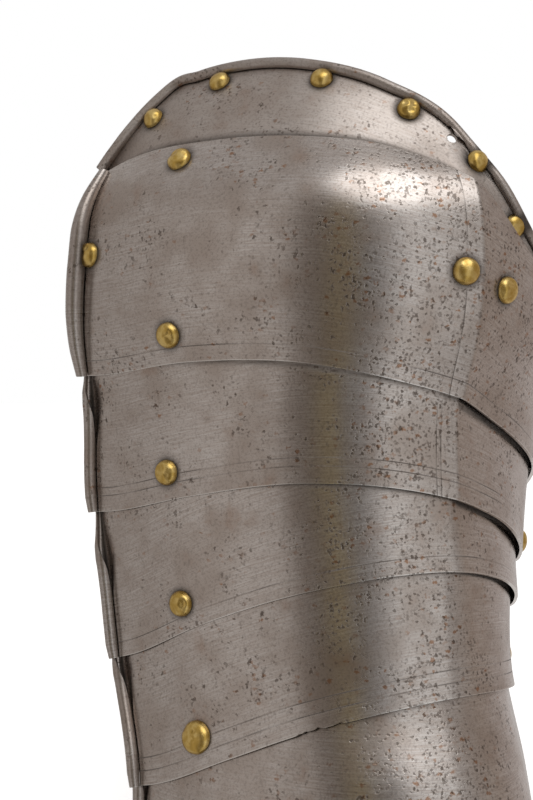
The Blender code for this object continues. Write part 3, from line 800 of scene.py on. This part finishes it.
def worn_brass(name, seed):
    material = bpy.data.materials.new(name)
    material.use_nodes = True
    tree = material.node_tree
    shader = tree.nodes["Principled BSDF"]
    tone = Tone(tree)
    place = tone.node("ShaderNodeTexCoord", output="Object")

    def cloud(scale, detail, shift):
        moved = tone.node("ShaderNodeMapping", inputs={0: place, 1: (shift, seed, 0.0)})
        return tone.node("ShaderNodeTexNoise", inputs={"Vector": moved, "Scale": scale, "Detail": detail})

    dirt = tone.node("ShaderNodeAttribute", {"attribute_name": "dirt"}, output="Fac")
    blotch = cloud(420.0, 5.0, 0.0)
    specks = cloud(1900.0, 3.0, 0.4)
    soiled = (dirt + (blotch - 0.5) * 0.7 + specks.step(0.62, 0.75) * 0.3).step(0.25, 0.95)
    metal = blotch.step(0.35, 0.7).mixed(BRASS, BRASS_PALE)
    tree.links.new(soiled.mixed(metal, BRASS_DIRT).socket, shader.inputs["Base Color"])
    tree.links.new((1 - soiled * 0.6).socket, shader.inputs["Metallic"])
    tree.links.new((0.24 + blotch * 0.16 + soiled * 0.35).socket, shader.inputs["Roughness"])
    bump = tone.node("ShaderNodeBump", inputs={"Strength": 0.4, "Distance": 0.2 * MM,
                                               "Height": blotch * 0.8 + specks * 0.2})
    tree.links.new(bump.socket, shader.inputs["Normal"])
    return material


def domed_rivet(node, seed):
    """A rivet in the place of its node, turned from a profile, with a few dents hammered into its head."""
    solid_centre, solid_axis = rivet_axis(node)
    cad = np.array([v.co for v in frame["nodes"][node].data.vertices], float) - solid_centre
    along = cad @ solid_axis
    centre, axis = RIVETS[node]
    turned = Vector(axis).to_track_quat("Z", "Y")
    away = np.sqrt(np.maximum((cad**2).sum(1) - along**2, 0.0))
    crown, foot = along.max(), along.min()
    head_radius = float(away.max())
    seat = along[away > head_radius - 0.05 * MM].min() - 0.25 * MM
    dome = [(head_radius * math.sin(t) ** DOME_POWER, seat + (crown - seat) * math.cos(t) ** DOME_POWER)
            for t in np.linspace(0.04, math.pi / 2, 11)]
    profile = [(0.0, crown)] + dome
    profile += [(SHANK_RADIUS, seat), (SHANK_RADIUS, foot + 0.9 * MM), (PEEN_RADIUS, foot + 0.85 * MM)]
    profile += [(0.95 * PEEN_RADIUS, foot + 0.4 * MM), (0.6 * PEEN_RADIUS, foot + 0.05 * MM), (0.0, foot)]
    shape = bmesh.new()
    line = [shape.verts.new((r, 0.0, z)) for r, z in profile]
    edges = [shape.edges.new(pair) for pair in zip(line, line[1:])]
    bmesh.ops.spin(shape, geom=line + edges, axis=(0, 0, 1), cent=(0, 0, 0), steps=SPIN_STEPS,
                   angle=2 * math.pi, use_merge=True)
    bmesh.ops.remove_doubles(shape, verts=shape.verts, dist=1e-6)
    bmesh.ops.recalc_face_normals(shape, faces=shape.faces)
    dirt = shape.verts.layers.float.new("dirt")
    rng = np.random.default_rng(seed)
    dents = []
    for _ in range(3):
        turn, tilt = rng.uniform(0, 2 * math.pi), rng.uniform(0.2, 1.1)
        spot = Vector((
            math.sin(tilt) * math.cos(turn) * head_radius,
            math.sin(tilt) * math.sin(turn) * head_radius,
            seat + (crown - seat) * math.cos(tilt),
        ))
        dents.append((spot, rng.uniform(1.3, 2.4) * MM, rng.uniform(0.15, 0.45) * MM))
    for right, up, size, depth in DENTS.get(node, ()):
        spot = turned.inverted() @ ((right * camera_right + up * Vector((0.0, 0.0, 1.0))) * head_radius)
        reach = min(1.0, spot.xy.length / head_radius)
        spot.z = seat + (crown - seat) * math.sqrt(1 - reach * reach)
        dents.append((spot, size * MM, depth * MM))
    for vertex in shape.verts:
        radius = math.hypot(vertex.co.x, vertex.co.y)
        height = (vertex.co.z - seat) / (crown - seat)
        vertex[dirt] = max(0.0, 1 - height / 0.28) if height > -0.01 else 0.75
        if height < -0.01:
            continue
        for spot, size, depth in dents:
            near = max(0.0, 1 - (vertex.co - spot).length / size)
            vertex.co.z -= depth * near * near * (3 - 2 * near) * min(1.0, height * 3)
        wobble = noise.noise(Vector((vertex.co.x / WOBBLE_LENGTH, vertex.co.y / WOBBLE_LENGTH, 7.0 * seed)))
        if radius > 0.5 * MM:
            vertex.co.xy *= 1 + WOBBLE * wobble * min(1.0, radius / head_radius)
    shape.transform(Matrix.Translation(Vector(centre)) @ turned.to_matrix().to_4x4())
    mesh = bpy.data.meshes.new(node + "_brass")
    shape.to_mesh(mesh)
    shape.free()
    mesh.materials.append(worn_brass(node + "_brass", 0.37 * seed))
    mesh.shade_smooth()
    mesh.set_sharp_from_angle(angle=math.radians(60.0))
    rivet = bpy.data.objects.new(node + "_head", mesh)
    bpy.context.scene.collection.objects.link(rivet)
    return rivet


for number, node in enumerate(sorted(RIVETS)):
    rivet = domed_rivet(node, number + 1)
    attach(rivet, frame["nodes"][node]["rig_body"])
    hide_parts(node)
